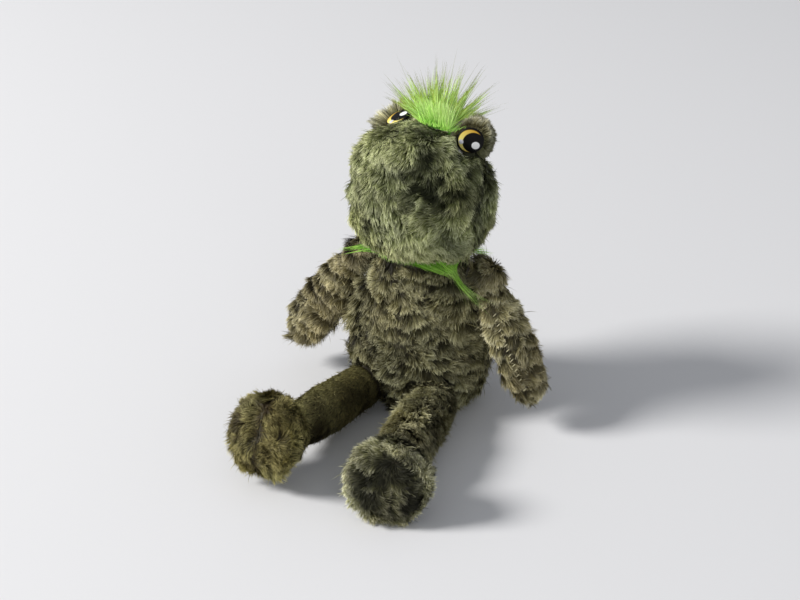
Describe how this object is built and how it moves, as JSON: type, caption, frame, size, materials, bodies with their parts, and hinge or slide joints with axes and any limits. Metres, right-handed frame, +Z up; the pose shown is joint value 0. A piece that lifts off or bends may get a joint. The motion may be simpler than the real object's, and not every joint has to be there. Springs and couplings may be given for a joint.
{
  "type": "stuffed plush frog dog toy",
  "caption": "Sitting long-pile plush frog dog toy with raised sewn eyes, a long hair tuft, a neck trim, flexible head, arms, legs and feet, and a squeaker in the belly.",
  "frame": {"origin": "centre of the bounding box, on the plane that the toy sits on", "axes": "+Z up, the toy faces -Y with its legs and feet stretched out along -Y; +X is the toy's own left side"},
  "size_m": [0.1798, 0.1896, 0.2107],
  "materials": {
    "head_plush": "long mottled pile, matt",
    "mound_plush": "long straight taupe pile, matt",
    "body_plush": "shaggy pile in bands, matt",
    "arm_plush": "shaggy pile in bands, matt",
    "leg_plush": "short smooth pile, matt",
    "foot_plush": "long shaggy pile, matt",
    "neon_plush": "very long bright green pile with darker tips, slight sheen",
    "fibre": "loose white polyester filling",
    "seam_thread": "sewn seam, dark thread",
    "eye_print": "printed disc: black rim, gold crescent, black pupil, white spots",
    "squeaker_plastic": "moulded plastic, translucent white",
    "reed_metal": "thin spring strip"
  },
  "bodies": {
    "torso": {"belly_panel": "body_plush", "back_panel": "body_plush", "torso_stuffing": "fibre", "squeaker_base": "squeaker_plastic", "squeaker_reed_tube": "squeaker_plastic", "squeaker_reed": "reed_metal", "squeaker_bellows": "squeaker_plastic"},
    "squeaker_crown": {"squeaker_crown": "squeaker_plastic"},
    "neck": {"neck_trim": "neon_plush"},
    "head": {"face_panel": "head_plush", "head_back_panel": "head_plush", "head_stuffing": "fibre", "left_eye_mound": "mound_plush", "right_eye_mound": "mound_plush", "left_mound_stuffing": "fibre", "right_mound_stuffing": "fibre", "left_eye": "eye_print", "right_eye": "eye_print", "hair_tuft": "neon_plush"},
    "left_shoulder": {"left_shoulder_seam": "seam_thread"},
    "left_arm": {"left_arm_outer_panel": "arm_plush", "left_arm_inner_panel": "arm_plush", "left_arm_stuffing": "fibre"},
    "left_hip": {"left_hip_seam": "seam_thread"},
    "left_leg": {"left_leg_upper_panel": "leg_plush", "left_leg_under_panel": "leg_plush", "left_leg_stuffing": "fibre"},
    "left_foot": {"left_foot_outer_panel": "foot_plush", "left_foot_inner_panel": "foot_plush", "left_foot_stuffing": "fibre"},
    "right_shoulder": {"right_shoulder_seam": "seam_thread"},
    "right_arm": {"right_arm_outer_panel": "arm_plush", "right_arm_inner_panel": "arm_plush", "right_arm_stuffing": "fibre"},
    "right_hip": {"right_hip_seam": "seam_thread"},
    "right_leg": {"right_leg_upper_panel": "leg_plush", "right_leg_under_panel": "leg_plush", "right_leg_stuffing": "fibre"},
    "right_foot": {"right_foot_outer_panel": "foot_plush", "right_foot_inner_panel": "foot_plush", "right_foot_stuffing": "fibre"}
  },
  "joints": [
    {"name": "squeaker_press", "type": "slide", "parent": "torso", "child": "squeaker_crown", "axis": [0, 1, 0], "range_m": [0, 0.008], "stiffness_N_per_m": 600, "deforming": ["squeaker_bellows"]},
    {"name": "neck_turn", "type": "hinge", "parent": "torso", "child": "neck", "pos_m": [0.00227, 0.05566, 0.088], "axis": [0, 0, 1], "range_deg": [-25, 25]},
    {"name": "neck_nod", "type": "hinge", "parent": "neck", "child": "head", "pos_m": [0.00227, 0.05566, 0.088], "axis": [1, 0, 0], "range_deg": [-10, 30]},
    {"name": "left_shoulder_raise", "type": "hinge", "parent": "torso", "child": "left_shoulder", "pos_m": [0.04377, 0.05666, 0.088], "axis": [0, -1, 0], "range_deg": [0, 50]},
    {"name": "left_shoulder_swing", "type": "hinge", "parent": "left_shoulder", "child": "left_arm", "pos_m": [0.04377, 0.05666, 0.088], "axis": [1, 0, 0], "range_deg": [-50, 40]},
    {"name": "left_hip_spread", "type": "hinge", "parent": "torso", "child": "left_hip", "pos_m": [0.02627, 0.01666, 0.016], "axis": [0, 0, 1], "range_deg": [-8, 35]},
    {"name": "left_hip_lift", "type": "hinge", "parent": "left_hip", "child": "left_leg", "pos_m": [0.02627, 0.01666, 0.016], "axis": [-1, 0, 0], "range_deg": [-75, 35]},
    {"name": "right_shoulder_raise", "type": "hinge", "parent": "torso", "child": "right_shoulder", "pos_m": [-0.03923, 0.05666, 0.088], "axis": [0, 1, 0], "range_deg": [0, 50]},
    {"name": "right_shoulder_swing", "type": "hinge", "parent": "right_shoulder", "child": "right_arm", "pos_m": [-0.03923, 0.05666, 0.088], "axis": [1, 0, 0], "range_deg": [-50, 40]},
    {"name": "right_hip_spread", "type": "hinge", "parent": "torso", "child": "right_hip", "pos_m": [-0.02173, 0.01666, 0.016], "axis": [0, 0, -1], "range_deg": [-8, 35]},
    {"name": "right_hip_lift", "type": "hinge", "parent": "right_hip", "child": "right_leg", "pos_m": [-0.02173, 0.01666, 0.016], "axis": [-1, 0, 0], "range_deg": [-75, 35]},
    {"name": "left_ankle_bend", "type": "hinge", "parent": "left_leg", "child": "left_foot", "pos_m": [0.0362, -0.05859, 0.01982], "axis": [-1, 0, 0], "range_deg": [-20, 10]},
    {"name": "right_ankle_bend", "type": "hinge", "parent": "right_leg", "child": "right_foot", "pos_m": [-0.03054, -0.0584, 0.02404], "axis": [-1, 0, 0], "range_deg": [-20, 10]}
  ]
}
